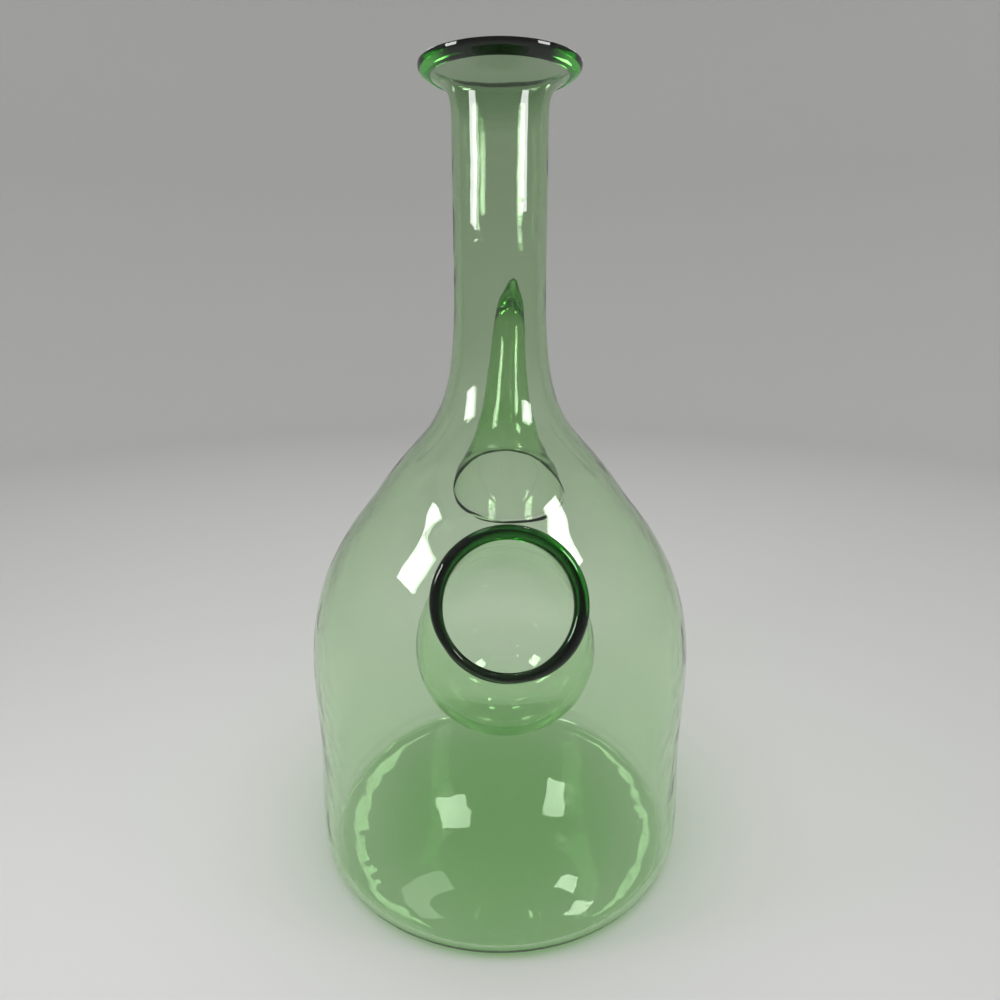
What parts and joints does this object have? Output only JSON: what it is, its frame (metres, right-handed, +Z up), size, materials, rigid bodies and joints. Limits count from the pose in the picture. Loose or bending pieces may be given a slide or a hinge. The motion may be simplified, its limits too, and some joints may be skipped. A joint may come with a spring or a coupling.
{
  "type": "wine decanter",
  "caption": "Blown green glass wine decanter, bell-shaped, with a flared neck, an ice pocket bulb opening in the front shoulder and a pouring spout on the back.",
  "frame": {"origin": "centre of the flat underside of the foot", "axes": "+Z up along the axis of the body and neck, -Y towards the ice pocket's mouth, +Y towards the pouring spout"},
  "size_m": [0.154, 0.1679, 0.3],
  "materials": {
    "pale_green_glass": "polished, pale green, thin blown wall over a thick floor",
    "pocket_glass": "polished, pale green, thin blown bulb",
    "dark_green_glass": "fire polished, deep bottle green, nearly black where thick",
    "spout_glass": "fire polished, mid green, faint lengthwise drawing lines"
  },
  "bodies": {
    "root": {"blown_body": "pale_green_glass", "lip_wrap": "dark_green_glass", "ice_pocket": "pocket_glass", "pocket_mouth_ring": "dark_green_glass", "pouring_spout": "spout_glass"}
  },
  "joints": []
}
